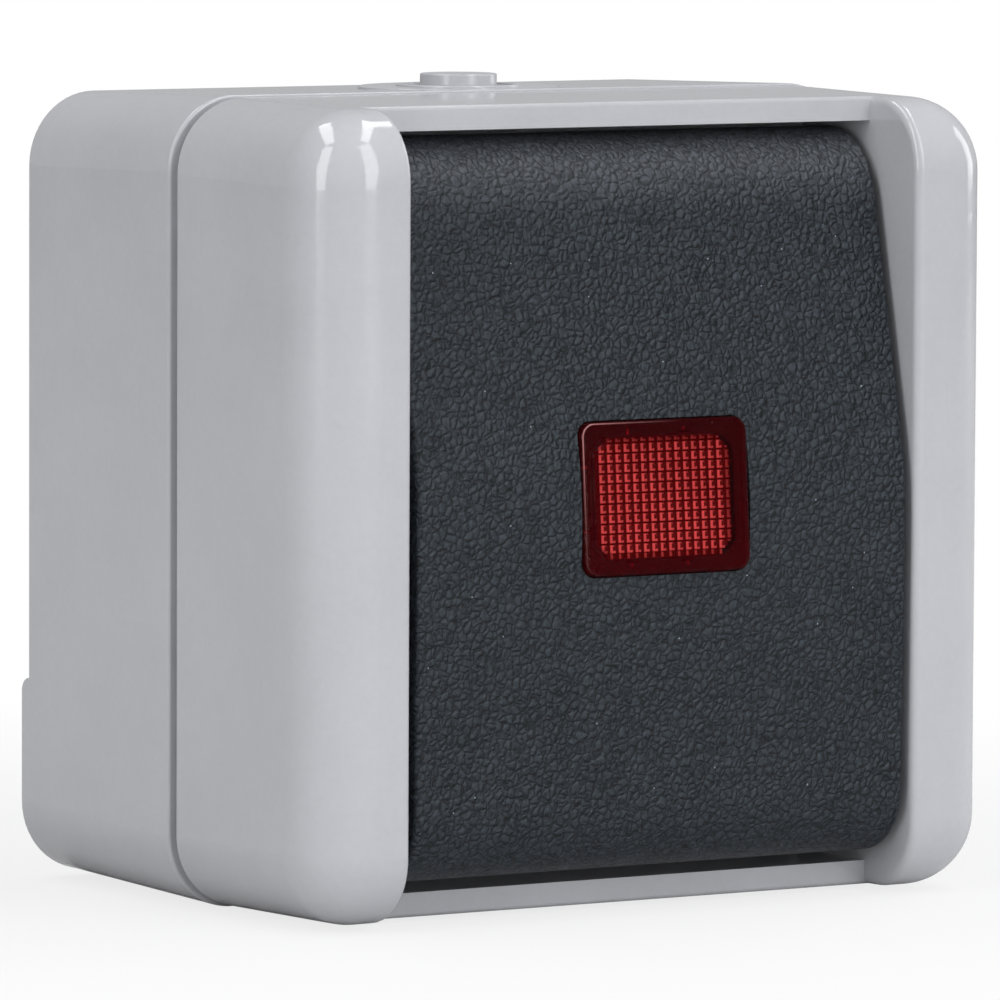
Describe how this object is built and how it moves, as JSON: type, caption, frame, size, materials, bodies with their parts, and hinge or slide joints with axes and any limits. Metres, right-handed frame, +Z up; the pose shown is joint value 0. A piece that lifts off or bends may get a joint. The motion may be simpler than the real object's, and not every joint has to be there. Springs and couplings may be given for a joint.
{
  "type": "pushbutton light switch",
  "caption": "Surface-mounted splash-proof pushbutton with a rocking push plate, a red lamp window, a two-part grey casing and a wired insert.",
  "frame": {"origin": "centre of the wall screw pattern, on the wall plane", "axes": "+X to the right seen from the front, +Y into the wall, +Z up"},
  "size_m": [0.076, 0.0559, 0.0772],
  "materials": {
    "box_grey": "light grey moulded plastic, smooth and glossy",
    "frame_grey": "light grey moulded plastic, smooth and glossy",
    "grommet_grey": "soft light grey plastic",
    "seal_rubber": "dark grey sealing rubber",
    "membrane_rubber": "dark grey rubber sheet",
    "washer_rubber": "soft dark washers",
    "plate_anthracite": "anthracite plastic with a fine leather grain",
    "lens_red": "clear dark red plastic, polished",
    "pin_steel": "bright steel",
    "frame_screw_steel": "zinc-plated steel",
    "carrier_screw_steel": "zinc-plated steel",
    "carrier_steel": "zinc-plated steel sheet",
    "base_thermoset": "off-white hard plastic",
    "cover_plastic": "pale grey plastic",
    "rivet_brass": "brass tube rivets",
    "common_brass": "brass strip",
    "switched_brass": "brass strip",
    "lamp_brass_left": "brass strip",
    "lamp_brass_right": "brass strip",
    "bridge_brass": "brass bar with contact studs",
    "plunger_plastic": "orange-red plastic",
    "spring_steel": "spring steel wire",
    "clamp_brass": "brass cages",
    "terminal_screw_steel": "zinc-plated steel",
    "holder_plastic": "off-white plastic",
    "lamp_glass": "clear glass",
    "electrode_wire": "nickel-plated wire",
    "resistor_coat": "tan coated ceramic",
    "earth_brass": "brass block",
    "earth_screw_steel": "zinc-plated steel"
  },
  "bodies": {
    "casing": {"rear_box": "box_grey", "front_frame": "frame_grey", "cable_grommet": "grommet_grey", "box_seal": "seal_rubber", "splash_membrane": "membrane_rubber", "wall_seal_washers": "washer_rubber", "hinge_pins": "pin_steel", "frame_screws": "frame_screw_steel", "carrier_screws": "carrier_screw_steel", "carrier_plate": "carrier_steel", "insert_base": "base_thermoset", "insert_cover": "cover_plastic", "insert_rivets": "rivet_brass", "common_contact": "common_brass", "switched_contact": "switched_brass", "lamp_contact_left": "lamp_brass_left", "lamp_contact_right": "lamp_brass_right", "plunger_spring": "spring_steel", "terminal_clamps": "clamp_brass", "terminal_screws": "terminal_screw_steel", "lamp_holder": "holder_plastic", "glow_lamp": "lamp_glass", "lamp_electrodes": "electrode_wire", "lamp_resistor": "resistor_coat", "earth_terminal": "earth_brass", "earth_terminal_screws": "earth_screw_steel"},
    "push_plate": {"push_plate": "plate_anthracite", "window_lens": "lens_red"},
    "plunger": {"plunger": "plunger_plastic", "contact_bridge": "bridge_brass"}
  },
  "joints": [
    {"name": "plate_hinge", "type": "hinge", "parent": "casing", "child": "push_plate", "pos_m": [0, -0.0415, 0], "axis": [1, 0, 0], "range_deg": [0, 5], "stiffness_Nm_per_rad": 1.2},
    {"name": "plunger_slide", "type": "slide", "parent": "casing", "child": "plunger", "axis": [0, 1, 0], "range_m": [0, 0.0016], "deforming": ["plunger_spring"]}
  ],
  "couplings": [
    {"joint": "plunger_slide", "follows": "plate_hinge", "m_per_rad": 0.018}
  ]
}
